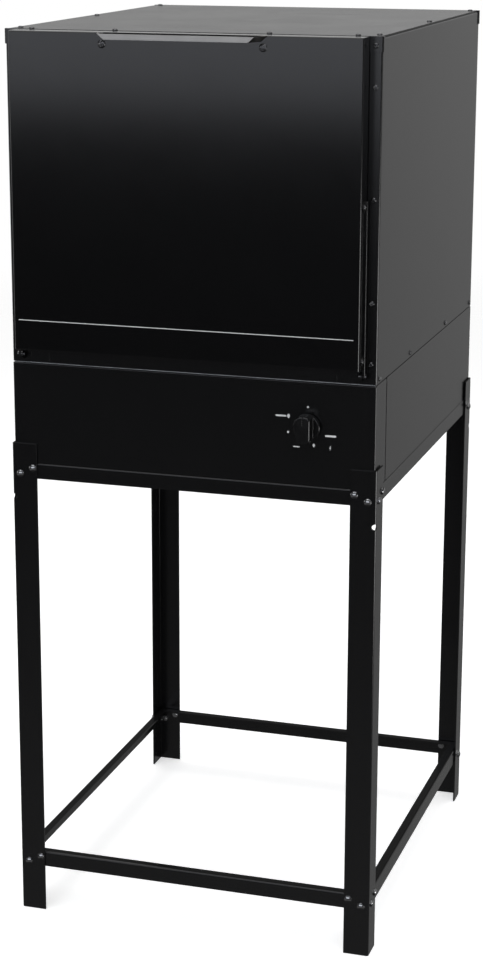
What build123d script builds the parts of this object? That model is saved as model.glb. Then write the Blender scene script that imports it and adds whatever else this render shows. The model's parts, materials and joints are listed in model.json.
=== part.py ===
from build123d import *
import os

# Gas oven on an angle-iron stand: a box-shaped insulated baking oven with a drop-down door,
# a burner box below it with one control knob, and a bolted stand of four angle legs.
# Units are millimetres. X is to the right seen from the front, Y goes to the back, Z is up.
# Y is measured from the middle of the body; export moves the model by DEPTH_SHIFT, so that
# the origin lies on the floor at the middle of the whole object.

# ---------------------------------------------------------------- driving dimensions
BODY_WIDTH = 570.0
BODY_DEPTH = 670.0
BODY_TOP = 1403.0
BODY_BOTTOM = 904.5
BASE_TOP = 903.0
BASE_BOTTOM = 746.0
SHEET = 1.0
FLANGE = 20.0

LEG_SIZE = 40.0
LEG_THICK = 2.5
LEG_TOP = 776.0
LEG_PROUD_X = 3.5
LEG_PROUD_Y = 3.0
BEND = 3.0
RAIL_SIZE = 25.0
RAIL_FLANGE = 14.0
RAIL_TOPS = (BASE_BOTTOM, 100.0)
CORNER_HOLE_RADIUS = 4.5
CORNER_HOLE_Z = 691.0

BOLT_RADIUS = 3.0
BOLT_CLEARANCE = 0.25
BOLT_HEAD_HEIGHT = 4.0
NUT_HEIGHT = 4.5
HEX_ACROSS_FLATS = 10.0
BOLT_DROPS = (8.0, 17.5)
CROSS_BOLT_X = (255.0, 275.5)
SIDE_BOLT_Y = (302.0, 322.0)

CAVITY_WIDTH = 450.0
CAVITY_BOTTOM = 970.0
CAVITY_TOP = 1310.0
CAVITY_BACK = 255.0
MOUTH_RETURN = 20.0
FLUE_WIDTH = 160.0
FLUE_BOTTOM = 1268.0
FLUE_TOP = 1298.0

DOOR_WIDTH = 533.0
DOOR_BOTTOM = 929.5
DOOR_TOP = 1402.5
DOOR_FRONT = -370.0
DOOR_BACK = -338.5
HANDLE_REACH = 30.0
HANDLE_HEIGHT = 7.0
HANDLE_SHEET = 1.2
HANDLE_SCREW_X = 121.0
HANDLE_SCREW_DROP = 16.5

PIVOT_Y = -343.0
PIVOT_Z = 918.0
PIN_RADIUS = 3.0
RUNNING_CLEARANCE = 0.05
ARM_WIDTH = 10.0
ARM_THICK = 3.5
ARM_LENGTH = 250.0
ARM_TAB_THICK = 1.2
ARM_SCREW_Y = -355.5
ARM_SCREW_RISES = (24.5, 247.0)

KNOB_X = 182.0
KNOB_Z = 835.5
KNOB_BACK = -338.8
KNOB_RADIUS = 20.5
KNOB_SKIRT = 6.0
GRIP_WIDTH = 21.0
GRIP_LENGTH = 42.0
GRIP_DEPTH = 21.0
STEM_RADIUS = 3.0
STEM_Y = (-358.0, -300.0)
BURNER_RADIUS = 20.0
BURNER_Y = (-274.0, 240.0)
NIPPLE_RADIUS = 5.0
NIPPLE_END = 366.0

RACK_Z = 1141.0
RACK_Y = (-285.0, 215.0)
RACK_WIRE_COUNT = 13

# ---------------------------------------------------------------- derived places
HALF_WIDTH = BODY_WIDTH / 2
FRONT = -BODY_DEPTH / 2
BACK = BODY_DEPTH / 2
HALF_CAVITY = CAVITY_WIDTH / 2
HALF_DOOR = DOOR_WIDTH / 2
LEG_X = HALF_WIDTH + LEG_PROUD_X
LEG_Y = BACK + LEG_PROUD_Y
RAIL_X = LEG_X - LEG_THICK
RAIL_Y = LEG_Y - LEG_THICK
HANDLE_FRONT = DOOR_FRONT - HANDLE_REACH
DEPTH_SHIFT = -(HANDLE_FRONT + NIPPLE_END) / 2


# ---------------------------------------------------------------- helpers
def slab(x, y, z):
    """A box between the two values given for each axis."""
    sizes = [high - low for low, high in (x, y, z)]
    middle = [(high + low) / 2 for low, high in (x, y, z)]
    return Pos(*middle) * Box(*sizes)


def rod(radius, start, end):
    """A round bar between two points."""
    start = Vector(*start)
    run = Vector(*end) - start
    return Plane(origin=start, z_dir=run).location * Pos(0, 0, run.length / 2) * Cylinder(radius, run.length)


def across(shape):
    """The same piece on the other side, left for right."""
    return mirror(shape, about=Plane.YZ)


def turned_back(shape):
    """The same piece at the other end, front for back."""
    return mirror(shape, about=Plane.XZ)


def pair(shape):
    return [shape, across(shape)]


def save(name, *solids):
    """Write one node, moved so that the origin lies under the middle of the object."""
    moved = [Pos(0, DEPTH_SHIFT, 0) * solid for solid in solids]
    node = moved[0] if len(moved) == 1 else Compound(children=moved)
    export_step(node, f"parts/{name}.step")


def angle_bar(size, thick, length):
    """Bent angle with its corner on the Z axis and its flanges along +X and +Y."""
    outline = Polyline((0, 0), (size, 0), (size, thick), (thick, thick), (thick, size), (0, size), close=True)
    bar = extrude(make_face(outline), amount=length)
    corner = bar.edges().filter_by(Axis.Z).sort_by_distance((0, 0, length / 2))[0]
    bar = fillet(corner, BEND)
    inner = bar.edges().filter_by(Axis.Z).sort_by_distance((thick, thick, length / 2))[0]
    return fillet(inner, BEND - thick)


def hex_prism(across_flats, height):
    """Hexagonal prism along +Z with flats facing +Y and -Y."""
    return extrude(RegularPolygon(across_flats / 2, 6, major_radius=False, rotation=0), amount=height)


# ---------------------------------------------------------------- screws
def screw(place, outward, head=4.0, rise=2.0, shank=7.0):
    """Domed screw: its head rises from the place along the outward direction."""
    seat = Plane(origin=place, z_dir=outward).location
    dome = Cylinder(head, rise, align=(Align.CENTER, Align.CENTER, Align.MIN))
    dome = fillet(dome.edges().sort_by(Axis.Z)[-1], rise * 0.8)
    body = Pos(0, 0, -shank / 2) * Cylinder(1.7, shank)
    return seat * (dome + body)


def screw_hole(place, outward, depth=9.0):
    seat = Plane(origin=place, z_dir=outward).location
    return seat * Pos(0, 0, -depth / 2 + 1) * Cylinder(1.75, depth + 2)


CAP = 1.5
CAP_HEIGHT = 22.0
FRONT_SCREW_Z = (1332.0, 1173.0, 1024.0, 934.5)
TOP_SCREW_Y = (-305.0, 12.0, 320.0)
SEAM_SCREW_Y = (-319.0, -123.0, 128.0, 320.0)
REAR_SCREW_Z = (930.0, 1150.0, 1370.0)
RIGHT_SCREWS = (
    [((275.5, FRONT, z), (0, -1, 0)) for z in FRONT_SCREW_Z]
    + [((275.5, FRONT - CAP, 1390.0), (0, -1, 0))]
    + [((273.0, y, BODY_TOP), (0, 0, 1)) for y in TOP_SCREW_Y]
    + [((x, -325.0, BODY_TOP), (0, 0, 1)) for x in (117.0, 247.0)]
    + [((HALF_WIDTH, y, 911.5), (1, 0, 0)) for y in SEAM_SCREW_Y]
    + [((273.0, BACK - SHEET, z), (0, 1, 0)) for z in REAR_SCREW_Z]
    + [((276.0, BACK, z), (0, 1, 0)) for z in (790.0, 885.0)]
)
SCREWS = RIGHT_SCREWS + [((-x, y, z), (-dx, dy, dz)) for (x, y, z), (dx, dy, dz) in RIGHT_SCREWS]


def drilled(panel, mid_x=0.0):
    """The panel with a clearance hole for each screw on its side of the body."""
    for place, outward in SCREWS:
        if place[0] * mid_x >= 0:
            panel -= screw_hole(place, outward)
    return panel


# ---------------------------------------------------------------- stand
def bolt_places():
    """Centre on the leg's face and outward direction of every stand bolt."""
    places = []
    for rail_top in RAIL_TOPS:
        for along_x, along_y, drop in zip(CROSS_BOLT_X, SIDE_BOLT_Y, BOLT_DROPS):
            for side in (-1, 1):
                for end in (-1, 1):
                    places.append(((side * along_x, end * LEG_Y, rail_top - drop), (0, end, 0)))
                    places.append(((side * LEG_X, end * along_y, rail_top - drop), (side, 0, 0)))
    return places


def bolt_holes(shape):
    for place, outward in bolt_places():
        inward = Vector(*place) - Vector(*outward) * 12
        start = Vector(*place) + Vector(*outward) * 2
        shape -= rod(BOLT_RADIUS + BOLT_CLEARANCE, start, inward)
    return shape


def stand_seat(place, outward):
    """Frame at a bolt's place with Z outward and X level."""
    level = Vector(*outward).cross(Vector(0, 0, 1))
    return Plane(origin=place, x_dir=level, z_dir=outward).location


def stand_bolt(place, outward):
    head = hex_prism(HEX_ACROSS_FLATS, BOLT_HEAD_HEIGHT)
    grip = 2 * LEG_THICK + NUT_HEIGHT + 0.5
    shank = Pos(0, 0, -grip / 2) * Cylinder(BOLT_RADIUS, grip)
    return stand_seat(place, outward) * (head + shank)


def stand_nut(place, outward):
    nut = hex_prism(HEX_ACROSS_FLATS, NUT_HEIGHT) - Cylinder(BOLT_RADIUS + 0.05, 4 * NUT_HEIGHT)
    return stand_seat(place, outward) * Pos(0, 0, -2 * LEG_THICK - NUT_HEIGHT) * nut


def front_left_leg():
    leg = Pos(-LEG_X, -LEG_Y, 0) * angle_bar(LEG_SIZE, LEG_THICK, LEG_TOP)
    corner = (-LEG_X - 5, -LEG_Y - 5, CORNER_HOLE_Z)
    leg -= rod(CORNER_HOLE_RADIUS, corner, (-LEG_X + 12, -LEG_Y + 12, CORNER_HOLE_Z))
    return bolt_holes(leg)


def front_cross_rail(rail_top):
    """Angle across the front; its level flange is the narrow one and stops short of the side rails."""
    end = RAIL_X - 0.5
    rail = Pos(-end, -RAIL_Y, rail_top) * Rot(0, 90, 0) * angle_bar(RAIL_SIZE, LEG_THICK, 2 * end)
    for side in (-1, 1):
        inner, outer = sorted((side * (RAIL_X - LEG_THICK - 0.5), side * (RAIL_X + 5)))
        rail -= slab((inner, outer), (-RAIL_Y + LEG_THICK, 0), (rail_top - 5, rail_top + 5))
    rail -= slab((-RAIL_X, RAIL_X), (-RAIL_Y + RAIL_FLANGE, 0), (rail_top - 5, rail_top + 5))
    return bolt_holes(rail)


def left_side_rail(rail_top):
    """Angle along the left side; its level flange stops at the cross rails' flanges."""
    end = RAIL_Y - LEG_THICK - 0.5
    rail = Pos(-RAIL_X, -end, rail_top) * Rot(-90, 0, 0) * angle_bar(RAIL_SIZE, LEG_THICK, 2 * end)
    for outward in (-1, 1):
        low, high = sorted((outward * (RAIL_Y - RAIL_FLANGE - 0.5), outward * (RAIL_Y + 5)))
        rail -= slab((-RAIL_X + LEG_THICK, 0), (low, high), (rail_top - 5, rail_top + 5))
    rail -= slab((-RAIL_X + RAIL_FLANGE, 0), (-RAIL_Y, RAIL_Y), (rail_top - 5, rail_top + 5))
    return bolt_holes(rail)


def make_stand():
    leg = front_left_leg()
    save("leg_front_left", leg)
    save("leg_front_right", across(leg))
    save("leg_rear_left", turned_back(leg))
    save("leg_rear_right", turned_back(across(leg)))
    for name, rail_top in zip(("top", "lower"), RAIL_TOPS):
        cross = front_cross_rail(rail_top)
        save(f"{name}_cross_rails", cross, turned_back(cross))
        save(f"{name}_side_rails", *pair(left_side_rail(rail_top)))
    save("stand_bolts", *[stand_bolt(place, outward) for place, outward in bolt_places()])
    save("stand_nuts", *[stand_nut(place, outward) for place, outward in bolt_places()])


# ---------------------------------------------------------------- burner box
WRAP = 60.0
BASE_FLANGE = 15.0
SEAM_GAP = 5.0


def base_front_panel():
    """Front of the burner box, folded round both corners, with top and bottom flanges."""
    wrap_end = FRONT + WRAP
    panel = slab((-HALF_WIDTH, HALF_WIDTH), (FRONT, wrap_end), (BASE_BOTTOM, BASE_TOP))
    front_corners = panel.edges().filter_by(Axis.Z).sort_by(Axis.Y)[:2]
    panel = fillet(front_corners, 2.0)
    top_edges = panel.faces().sort_by(Axis.Z)[-1].edges().sort_by(Axis.Y)[:-1]
    panel = fillet(top_edges, 1.8)
    inner_x = HALF_WIDTH - SHEET
    panel -= slab((-inner_x, inner_x), (FRONT + SHEET, wrap_end + 1), (BASE_BOTTOM + SHEET, BASE_TOP - SHEET))
    window = HALF_WIDTH - BASE_FLANGE
    panel -= slab((-window, window), (FRONT + BASE_FLANGE, wrap_end + 1), (BASE_BOTTOM - 1, BASE_TOP + 1))
    panel -= rod(7.0, (KNOB_X, FRONT - 5, KNOB_Z), (KNOB_X, FRONT + 5, KNOB_Z))
    return panel


def base_side_right():
    """Side of the burner box: a channel with a tongue that lies behind the front's fold."""
    outer = HALF_WIDTH
    start = FRONT + WRAP + SEAM_GAP
    end = BACK - SHEET
    channel = slab((outer - BASE_FLANGE, outer), (start, end), (BASE_BOTTOM, BASE_TOP))
    top_edge = channel.edges().filter_by(Axis.Y).sort_by(Axis.X)[-2:].sort_by(Axis.Z)[-1]
    channel = fillet(top_edge, 1.5)
    hollow = slab((0, outer - SHEET), (start - 1, end - SHEET), (BASE_BOTTOM + SHEET, BASE_TOP - SHEET))
    tongue_x = (outer - 2 * SHEET, outer - SHEET)
    tongue = slab(tongue_x, (start - BASE_FLANGE, start + BASE_FLANGE), (BASE_BOTTOM + 3, BASE_TOP - 3))
    return drilled(channel - hollow + tongue, 1)


def base_floor():
    """Floor of the burner box with two rows of air slots under the burner."""
    plate = slab((-262, 262), (FRONT + 18, BACK - 18), (BASE_BOTTOM + SHEET, BASE_BOTTOM + 2 * SHEET))
    plate += slab((-283, 283), (FRONT + 64, BACK - 18), (BASE_BOTTOM + SHEET, BASE_BOTTOM + 2 * SHEET))
    slot = Pos(0, 0, BASE_BOTTOM) * extrude(SlotOverall(90, 9), amount=5)
    for row in range(9):
        for side in (-1, 1):
            plate -= Pos(side * 110, -210 + row * 48, 0) * slot
    return plate


def make_base():
    save("base_front_panel", base_front_panel())
    side = base_side_right()
    save("base_side_right", side)
    save("base_side_left", across(side))
    rear = slab((-HALF_WIDTH + 1, HALF_WIDTH - 1), (BACK - SHEET, BACK), (BASE_BOTTOM + 1, BASE_TOP - 1))
    rear -= rod(8.2, (KNOB_X, BACK - 5, KNOB_Z), (KNOB_X, BACK + 5, KNOB_Z))
    for row in range(5):
        slot = extrude(SlotOverall(70, 6), amount=10, both=True)
        for side_x in (-80, 80):
            rear -= Pos(side_x, BACK, 800 + row * 16) * Rot(90, 0, 0) * slot
    save("base_rear_panel", drilled(rear))
    save("base_floor", base_floor())


# ---------------------------------------------------------------- oven body
def front_post_right():
    """Front upright beside the door: face, short outer fold and deeper fold at the mouth."""
    x_in, x_out = HALF_CAVITY, HALF_WIDTH
    outline = Polyline(
        (x_in, FRONT + MOUTH_RETURN),
        (x_in, FRONT),
        (x_out, FRONT),
        (x_out, FRONT + 5),
        (x_out - SHEET, FRONT + 5),
        (x_out - SHEET, FRONT + SHEET),
        (x_in + SHEET, FRONT + SHEET),
        (x_in + SHEET, FRONT + MOUTH_RETURN),
        close=True,
    )
    post = Pos(0, 0, BODY_BOTTOM) * extrude(make_face(outline), amount=BODY_TOP - SHEET - BODY_BOTTOM)
    corner = post.edges().filter_by(Axis.Z).sort_by_distance((x_out, FRONT, 1100))[0]
    return drilled(fillet(corner, 3.0), 1)


def mouth_strip(low, high, fold_at_top):
    """Header or sill between the posts, with a fold along the edge of the mouth."""
    strip = slab((-HALF_CAVITY, HALF_CAVITY), (FRONT, FRONT + SHEET), (low, high))
    edge = (high - SHEET, high) if fold_at_top else (low, low + SHEET)
    strip += slab((-HALF_CAVITY, HALF_CAVITY), (FRONT, FRONT + MOUTH_RETURN), edge)
    other = (low, low + SHEET) if fold_at_top else (high - SHEET, high)
    return strip + slab((-HALF_CAVITY, HALF_CAVITY), (FRONT, FRONT + MOUTH_RETURN), other)


def side_panel_right():
    """Outer side: a shallow pan with a flange all round and a rolled top edge."""
    front, end, top = FRONT + 5.5, BACK - 2 * SHEET, BODY_TOP - SHEET
    pan = slab((HALF_WIDTH - FLANGE, HALF_WIDTH), (front, end), (BODY_BOTTOM, top))
    top_edge = pan.edges().filter_by(Axis.Y).sort_by_distance((HALF_WIDTH, 0, top))[0]
    pan = fillet(top_edge, 3.0)
    pan -= slab((0, HALF_WIDTH - SHEET), (front + SHEET, end - SHEET), (BODY_BOTTOM + SHEET, top - SHEET))
    return drilled(pan, 1)


def top_cover():
    """Flat cover with a down-turned cap at each corner and a rear flange."""
    top = (BODY_TOP - SHEET, BODY_TOP)
    cover = slab((-HALF_WIDTH + 3.5, HALF_WIDTH - 3.5), (FRONT, BACK), top)
    cover += slab((-250, 250), (BACK - SHEET, BACK), (BODY_TOP - 15, BODY_TOP))
    outer_x, outer_y = HALF_WIDTH + CAP, -FRONT + CAP
    for side in (-1, 1):
        for end in (-1, 1):
            across_x = sorted((side * (outer_x - 24), side * outer_x))
            across_y = sorted((end * (outer_y - 8), end * outer_y))
            cap = slab(across_x, across_y, (BODY_TOP - CAP_HEIGHT, BODY_TOP))
            corner = cap.edges().filter_by(Axis.Z).sort_by_distance((side * outer_x, end * outer_y, 1390))[0]
            cap = fillet(corner, 3.0)
            inside_x = sorted((side * (outer_x - 30), side * HALF_WIDTH))
            inside_y = sorted((end * (outer_y - 12), end * BACK))
            cap -= slab(inside_x, inside_y, (BODY_TOP - CAP_HEIGHT - 1, BODY_TOP - SHEET))
            cover += cap
    return drilled(cover)


def rear_panel():
    depth = (BACK - 2 * SHEET, BACK - SHEET)
    panel = slab((-HALF_WIDTH + 1, HALF_WIDTH - 1), depth, (BODY_BOTTOM, BODY_TOP - 1.2))
    panel -= slab((-FLUE_WIDTH / 2, FLUE_WIDTH / 2), (BACK - 5, BACK + 5), (FLUE_BOTTOM, FLUE_TOP))
    return drilled(panel)


def make_body():
    post = front_post_right()
    save("front_post_right", post)
    save("front_post_left", across(post))
    save("front_header", drilled(mouth_strip(CAVITY_TOP, BODY_TOP - SHEET, fold_at_top=False)))
    save("front_sill", mouth_strip(BODY_BOTTOM, CAVITY_BOTTOM, fold_at_top=True))
    side = side_panel_right()
    save("side_panel_right", side)
    save("side_panel_left", across(side))
    save("top_cover", top_cover())
    save("rear_panel", rear_panel())
    floor = slab((-HALF_WIDTH + 2.5, HALF_WIDTH - 2.5), (FRONT + 2.5, BACK - 3), (BASE_TOP, BASE_TOP + SHEET))
    floor -= slab((-190, 190), (FRONT + 70, CAVITY_BACK - 20), (BASE_TOP - 1, BASE_TOP + 3))
    save("body_floor", floor)


# ---------------------------------------------------------------- oven chamber
LINER_FRONT = FRONT + MOUTH_RETURN + 0.5
TAB_Z = 947.0


def liner_right():
    """Side of the chamber with three tabs that carry the hearth stone."""
    wall = slab((HALF_CAVITY, HALF_CAVITY + SHEET), (LINER_FRONT, CAVITY_BACK), (TAB_Z, CAVITY_TOP))
    for tab_y in (-285, -30, 215):
        wall += slab((190, HALF_CAVITY + SHEET), (tab_y - 15, tab_y + 15), (TAB_Z, TAB_Z + SHEET))
    return wall


def rack_support_right():
    """Pressed side support with three ledges for the rack."""
    reach = (-300, 235)
    support = slab((HALF_CAVITY - 2.0, HALF_CAVITY), reach, (1030, 1255))
    for ledge_z in (RACK_Z - 90, RACK_Z, RACK_Z + 90):
        support += slab((HALF_CAVITY - 17, HALF_CAVITY), reach, (ledge_z - 1.5, ledge_z))
    return support


def wire_rack():
    """Sliding rack: a frame of stout wire with thinner wires welded on top."""
    low_z = RACK_Z + 0.3 + 3.0
    frame_x = HALF_CAVITY - 10.5
    front, end = RACK_Y
    rack = rod(3.0, (-frame_x, front + 3, low_z), (-frame_x, end - 3, low_z))
    rack += rod(3.0, (frame_x, front + 3, low_z), (frame_x, end - 3, low_z))
    for y in (front + 3, -35.0, end - 3):
        rack += rod(3.0, (-frame_x - 3, y, low_z), (frame_x + 3, y, low_z))
    pitch = 2 * frame_x / (RACK_WIRE_COUNT + 1)
    for index in range(RACK_WIRE_COUNT):
        x = -frame_x + pitch * (index + 1)
        rack += rod(2.0, (x, front, low_z + 4), (x, end, low_z + 4))
    return rack


def make_chamber():
    wall = liner_right()
    save("liner_right", wall)
    save("liner_left", across(wall))
    half = HALF_CAVITY + SHEET
    depth = (LINER_FRONT, CAVITY_BACK + SHEET)
    save("liner_top", slab((-half, half), depth, (CAVITY_TOP, CAVITY_TOP + SHEET)))
    rear = slab((-half, half), (CAVITY_BACK, CAVITY_BACK + SHEET), (TAB_Z, CAVITY_TOP))
    flue_x = (-FLUE_WIDTH / 2, FLUE_WIDTH / 2)
    rear -= slab(flue_x, (CAVITY_BACK - 5, CAVITY_BACK + 5), (FLUE_BOTTOM, FLUE_TOP))
    save("liner_rear", rear)
    stone = slab((-204, 204), (LINER_FRONT + 8, CAVITY_BACK - 20), (TAB_Z + SHEET, TAB_Z + SHEET + 20))
    save("hearth_stone", chamfer(stone.edges().filter_by(Axis.Z), 6))
    support = rack_support_right()
    save("rack_support_right", support)
    save("rack_support_left", across(support))
    save("wire_rack", wire_rack())


def make_insulation():
    """Mineral-wool slabs between the chamber and the outer panels, and the flue through them."""
    depth = (FRONT + 30, CAVITY_BACK - 5)
    side = slab((HALF_CAVITY + 4, HALF_WIDTH - FLANGE - 2), depth, (930, 1306))
    save("insulation_sides", *pair(side))
    save("insulation_top", slab((-218, 218), depth, (CAVITY_TOP + 4, BODY_TOP - 6)))
    rear = slab((-218, 218), (CAVITY_BACK + 4, BACK - 8), (930, 1390))
    wide = FLUE_WIDTH / 2 + 3
    rear -= slab((-wide, wide), (CAVITY_BACK, BACK), (FLUE_BOTTOM - 3, FLUE_TOP + 3))
    save("insulation_rear", rear)
    half = FLUE_WIDTH / 2
    duct = slab((-half, half), (CAVITY_BACK + SHEET, BACK - 2 * SHEET), (FLUE_BOTTOM, FLUE_TOP))
    duct -= slab((-half + 1, half - 1), (CAVITY_BACK, BACK), (FLUE_BOTTOM + 1, FLUE_TOP - 1))
    save("flue_duct", duct)
    grille = slab((-100, 100), (BACK - SHEET, BACK + 1), (FLUE_BOTTOM - 14, FLUE_TOP + 14))
    for row in range(3):
        slot = extrude(SlotOverall(130, 5), amount=10, both=True)
        grille -= Pos(0, BACK, FLUE_BOTTOM + 5 + row * 10) * Rot(90, 0, 0) * slot
    save("flue_grille", fillet(grille.edges().filter_by(Axis.Y).sort_by(Axis.X)[:2], 5))


# ---------------------------------------------------------------- gas train
def gas_valve():
    """Valve block behind the front panel with the bonnet that holds the plunger."""
    block = slab((KNOB_X - 13, KNOB_X + 13), (-322, -290), (KNOB_Z - 14, KNOB_Z + 14))
    block = chamfer(block.edges().filter_by(Axis.Y), 3)
    bonnet = rod(10, (KNOB_X, -333.5, KNOB_Z), (KNOB_X, -310, KNOB_Z))
    bore = rod(6.0, (KNOB_X, -335, KNOB_Z), (KNOB_X, -317, KNOB_Z))
    stem_bore = rod(STEM_RADIUS + 0.3, (KNOB_X, -335, KNOB_Z), (KNOB_X, -296, KNOB_Z))
    return block + bonnet - bore - stem_bore


def valve_plunger():
    """Spring-loaded collar that the stem turns in; it slides in the bonnet."""
    collar = rod(5.6, (KNOB_X, -332, KNOB_Z), (KNOB_X, -325, KNOB_Z))
    return collar - rod(STEM_RADIUS + RUNNING_CLEARANCE, (KNOB_X, -340, KNOB_Z), (KNOB_X, -320, KNOB_Z))


def control_knob():
    """Round skirt with a raised grip across it and a pointer groove at the top."""
    skirt = Cylinder(KNOB_RADIUS, KNOB_SKIRT, align=(Align.CENTER, Align.CENTER, Align.MIN))
    skirt = fillet(skirt.edges().sort_by(Axis.Z)[-1], 2.0)
    outline = RectangleRounded(GRIP_WIDTH, GRIP_LENGTH, 7)
    grip = Pos(0, 0, KNOB_SKIRT - 1) * extrude(outline, amount=GRIP_DEPTH)
    grip = fillet(grip.faces().sort_by(Axis.Z)[-1].edges(), 2.5)
    knob = skirt + grip
    knob -= Pos(0, 0, -1) * Cylinder(STEM_RADIUS + 0.02, 21, align=(Align.CENTER, Align.CENTER, Align.MIN))
    knob -= Pos(0, 14, KNOB_SKIRT + GRIP_DEPTH - 1.4) * Box(1.6, 12, 1.0)
    seat = Plane(origin=(KNOB_X, KNOB_BACK, KNOB_Z), x_dir=(1, 0, 0), z_dir=(0, -1, 0)).location
    return seat * knob


def burner_tube():
    """Tube burner with a belled mouth, a closed end and two rows of flame ports."""
    start, end = BURNER_Y
    tube = rod(BURNER_RADIUS, (0, start, KNOB_Z), (0, end, KNOB_Z))
    tube -= rod(BURNER_RADIUS - 1.5, (0, start - 1, KNOB_Z), (0, end - 2, KNOB_Z))
    bell = rod(BURNER_RADIUS + 4, (0, start, KNOB_Z), (0, start + 6, KNOB_Z))
    bell -= rod(BURNER_RADIUS - 0.5, (0, start - 1, KNOB_Z), (0, start + 7, KNOB_Z))
    tube += bell
    for index in range(24):
        for side in (-1, 1):
            port = Pos(side * 9, -215 + index * 18, KNOB_Z + 17) * Box(2.0, 9.0, 12.0)
            tube -= port
    return tube


def burner_support(y):
    """Upright plate with a foot that holds the burner tube."""
    foot_z = BASE_BOTTOM + 2 * SHEET
    plate = slab((-45, 45), (y, y + 2), (foot_z, KNOB_Z + 32))
    plate += slab((-45, 45), (y, y + 20), (foot_z, foot_z + 2))
    plate -= rod(BURNER_RADIUS + 0.3, (0, y - 5, KNOB_Z), (0, y + 7, KNOB_Z))
    return plate - rod(3.6, (32, y - 5, KNOB_Z + 16), (32, y + 7, KNOB_Z + 16))


def make_gas_train():
    save("gas_valve", gas_valve())
    save("valve_plunger", valve_plunger())
    save("valve_stem", rod(STEM_RADIUS, (KNOB_X, STEM_Y[0], KNOB_Z), (KNOB_X, STEM_Y[1], KNOB_Z)))
    save("control_knob", control_knob())
    save("burner_tube", burner_tube())
    save("burner_supports", burner_support(-245), burner_support(205))
    mouth = BURNER_Y[0]
    shutter = rod(BURNER_RADIUS + 4, (0, mouth - 3, KNOB_Z), (0, mouth - 1, KNOB_Z))
    for dx, dz in ((11, 11), (-11, 11), (11, -11), (-11, -11), (0, 0)):
        shutter -= rod(5, (dx, mouth - 6, KNOB_Z + dz), (dx, mouth + 2, KNOB_Z + dz))
    save("air_shutter", shutter)
    elbow = slab((-9, 9), (-316, -298), (KNOB_Z - 9, KNOB_Z + 9))
    elbow += rod(4, (0, -299, KNOB_Z), (0, mouth - 6, KNOB_Z))
    elbow += rod(7, (8, -307, KNOB_Z), (20, -307, KNOB_Z))
    save("injector_elbow", elbow)
    feed = rod(4, (20, -307, KNOB_Z), (KNOB_X - 13, -307, KNOB_Z))
    save("feed_pipe", feed - rod(3, (18, -307, KNOB_Z), (KNOB_X, -307, KNOB_Z)))
    supply = rod(6, (KNOB_X, -290, KNOB_Z), (KNOB_X, 318, KNOB_Z))
    save("supply_pipe", supply - rod(5, (KNOB_X, -295, KNOB_Z), (KNOB_X, 320, KNOB_Z)))
    nipple = rod(8, (KNOB_X, 318, KNOB_Z), (KNOB_X, 342, KNOB_Z))
    flange_seat = Plane(origin=(KNOB_X, BACK, KNOB_Z), x_dir=(1, 0, 0), z_dir=(0, 1, 0)).location
    nipple += flange_seat * hex_prism(20, 6)
    nipple += rod(NIPPLE_RADIUS, (KNOB_X, 340, KNOB_Z), (KNOB_X, NIPPLE_END, KNOB_Z))
    nipple -= rod(3.5, (KNOB_X, 310, KNOB_Z), (KNOB_X, NIPPLE_END + 5, KNOB_Z))
    save("gas_inlet_nipple", nipple)
    ceramic = rod(3.5, (32, -262, KNOB_Z + 16), (32, -215, KNOB_Z + 16))
    save("spark_electrode", ceramic + rod(1.0, (32, -216, KNOB_Z + 16), (32, -190, KNOB_Z + 16)))


# ---------------------------------------------------------------- door
def door_outer_panel():
    """Front skin folded back on all four sides, notched at the top for the handle."""
    whole = slab((-HALF_DOOR, HALF_DOOR), (DOOR_FRONT, DOOR_BACK), (DOOR_BOTTOM, DOOR_TOP))
    whole = fillet(whole.faces().sort_by(Axis.Y)[0].edges(), 2.0)
    inside_x = HALF_DOOR - SHEET
    inside_z = (DOOR_BOTTOM + SHEET, DOOR_TOP - SHEET)
    skin = whole - slab((-inside_x, inside_x), (DOOR_FRONT + SHEET, DOOR_BACK + 1), inside_z)
    notch_z = DOOR_TOP - HANDLE_HEIGHT - HANDLE_SHEET
    skin -= slab((-118.5, 118.5), (DOOR_FRONT - 1, DOOR_FRONT + 3.5), (notch_z, DOOR_TOP + 1))
    for side in (-1, 1):
        skin -= rod(2.1, (side * HANDLE_SCREW_X, -372, DOOR_TOP - HANDLE_SCREW_DROP),
                    (side * HANDLE_SCREW_X, -366, DOOR_TOP - HANDLE_SCREW_DROP))
        for rise in ARM_SCREW_RISES:
            skin -= screw_hole((side * HALF_DOOR, ARM_SCREW_Y, PIVOT_Z + rise), (side, 0, 0))
    return skin


def door_inner_panel():
    """Inner sheet of the door with a raised field facing the chamber."""
    half = HALF_DOOR - SHEET - 0.2
    z = (DOOR_BOTTOM + SHEET + 0.2, DOOR_TOP - SHEET - 0.2)
    sheet = slab((-half, half), (DOOR_BACK - SHEET, DOOR_BACK), z)
    field = slab((-214, 214), (DOOR_BACK - 1, DOOR_BACK + 3), (984, 1296))
    field = chamfer(field.faces().sort_by(Axis.Y)[-1].edges(), 2.5)
    hollow = slab((-210, 210), (DOOR_BACK - 2, DOOR_BACK + 2), (988, 1292))
    return sheet + field - hollow


def tray_corners(reach, spread):
    """Half-width of the handle tray at the door and at its front, for one level."""
    return [(-118 - spread, DOOR_FRONT), (118 + spread, DOOR_FRONT),
            (107.5 + spread, DOOR_FRONT - reach), (-107.5 - spread, DOOR_FRONT - reach)]


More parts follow.
